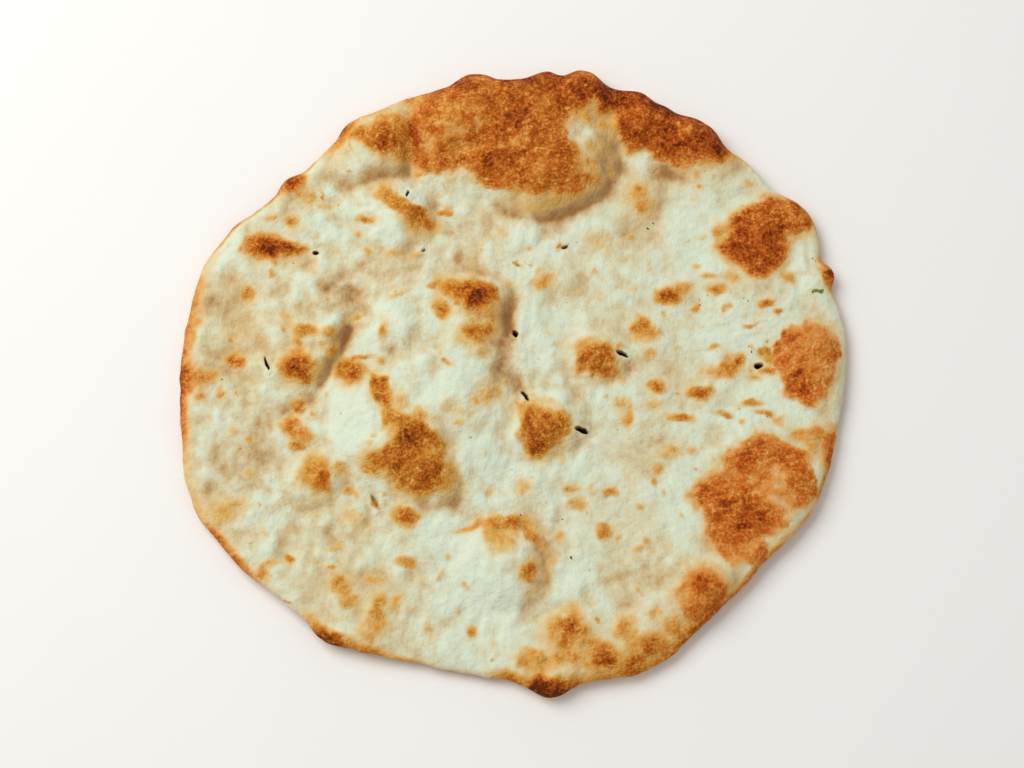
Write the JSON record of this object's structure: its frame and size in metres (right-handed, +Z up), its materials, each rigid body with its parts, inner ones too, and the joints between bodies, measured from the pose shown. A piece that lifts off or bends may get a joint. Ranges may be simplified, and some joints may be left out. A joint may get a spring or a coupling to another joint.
{
  "type": "naan",
  "caption": "Round plain naan, baked against a hot oven wall: a thin disc of dough with gas blisters, a soft rounded rim and browned patches.",
  "frame": {"origin": "middle of the underside's box, on the surface that the naan lies on", "axes": "+Z up, +X to the right and +Y away from the viewer of the picture, so the great blister is at +Y"},
  "size_m": [0.2418, 0.2348, 0.0153],
  "materials": {
    "baked_dough": "matt baked crust, pale cream with golden to dark brown scorched patches on the blisters and the rim"
  },
  "bodies": {
    "root": {"naan": "baked_dough"}
  },
  "joints": []
}
